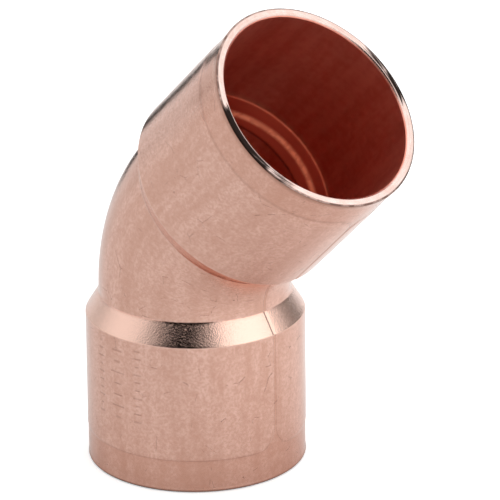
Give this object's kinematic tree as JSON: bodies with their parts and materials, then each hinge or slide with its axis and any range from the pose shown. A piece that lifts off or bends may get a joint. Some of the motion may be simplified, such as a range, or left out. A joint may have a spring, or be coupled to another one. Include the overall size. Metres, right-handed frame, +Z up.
{
  "type": "pipe elbow",
  "caption": "45 degree copper pipe elbow with two plain capillary sockets for soldering, formed from one length of tube",
  "frame": {"origin": "on the surface that the lower socket's mouth stands on, midway along X and Y between the outermost points of the whole elbow", "axes": "+Z up along the lower socket, out of the bend's lower side; the upper socket leans 45 degrees from +Z towards +X; Y = 0 is the plane of the bend"},
  "size_m": [0.039, 0.0242, 0.053],
  "materials": {
    "copper": "satin, as formed and cleaned, with brighter shoulders"
  },
  "bodies": {
    "root": {"elbow_body": "copper"}
  },
  "joints": []
}
